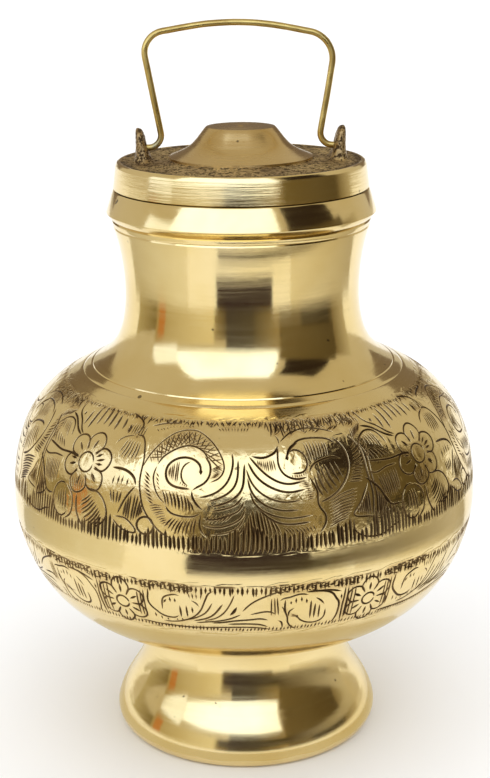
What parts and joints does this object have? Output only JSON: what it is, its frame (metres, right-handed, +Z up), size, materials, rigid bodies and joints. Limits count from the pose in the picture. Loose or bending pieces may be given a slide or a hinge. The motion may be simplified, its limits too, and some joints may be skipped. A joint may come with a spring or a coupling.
{
  "type": "lidded kalash pot",
  "caption": "Footed brass kalash pot: wide engraved belly, long waisted neck, turned screw lid with a low dome, and a wire bail hinged in cast lugs on the lid.",
  "frame": {"origin": "centre of the foot's bottom face, on the surface that the pot stands on", "axes": "+Z up along the pot's axis, X along the bail's hinge, through both lugs"},
  "size_m": [0.115, 0.115, 0.1776],
  "materials": {
    "body_brass": "polished, lathe turned and engraved",
    "lid_brass": "turned and polished, with an as-cast ring and lugs",
    "spelter": "brazed, dull",
    "wire_brass": "drawn wire, lightly tarnished",
    "washer_rubber": "plain black sheet"
  },
  "bodies": {
    "pot": {"lower_bowl": "body_brass", "neck_and_shoulder": "body_brass", "foot_ring": "body_brass", "belly_braze": "spelter", "foot_braze": "spelter"},
    "washer": {"lid_washer": "washer_rubber"},
    "lid": {"lid": "lid_brass"},
    "bail": {"bail_handle": "wire_brass"}
  },
  "joints": [
    {"name": "lid_lift", "type": "slide", "parent": "pot", "child": "washer", "axis": [0, 0, 1], "range_m": [0, 0.0081]},
    {"name": "lid_turn", "type": "hinge", "parent": "washer", "child": "lid", "pos_m": [0, 0, 0.1433], "axis": [0, 0, 1], "range_deg": [0, 1440]},
    {"name": "bail_swing", "type": "hinge", "parent": "lid", "child": "bail", "pos_m": [0, 0, 0.148], "axis": [1, 0, 0], "range_deg": [-92, 92]}
  ],
  "couplings": [
    {"joint": "lid_lift", "follows": "lid_turn", "m_per_rad": 0.00031831}
  ]
}
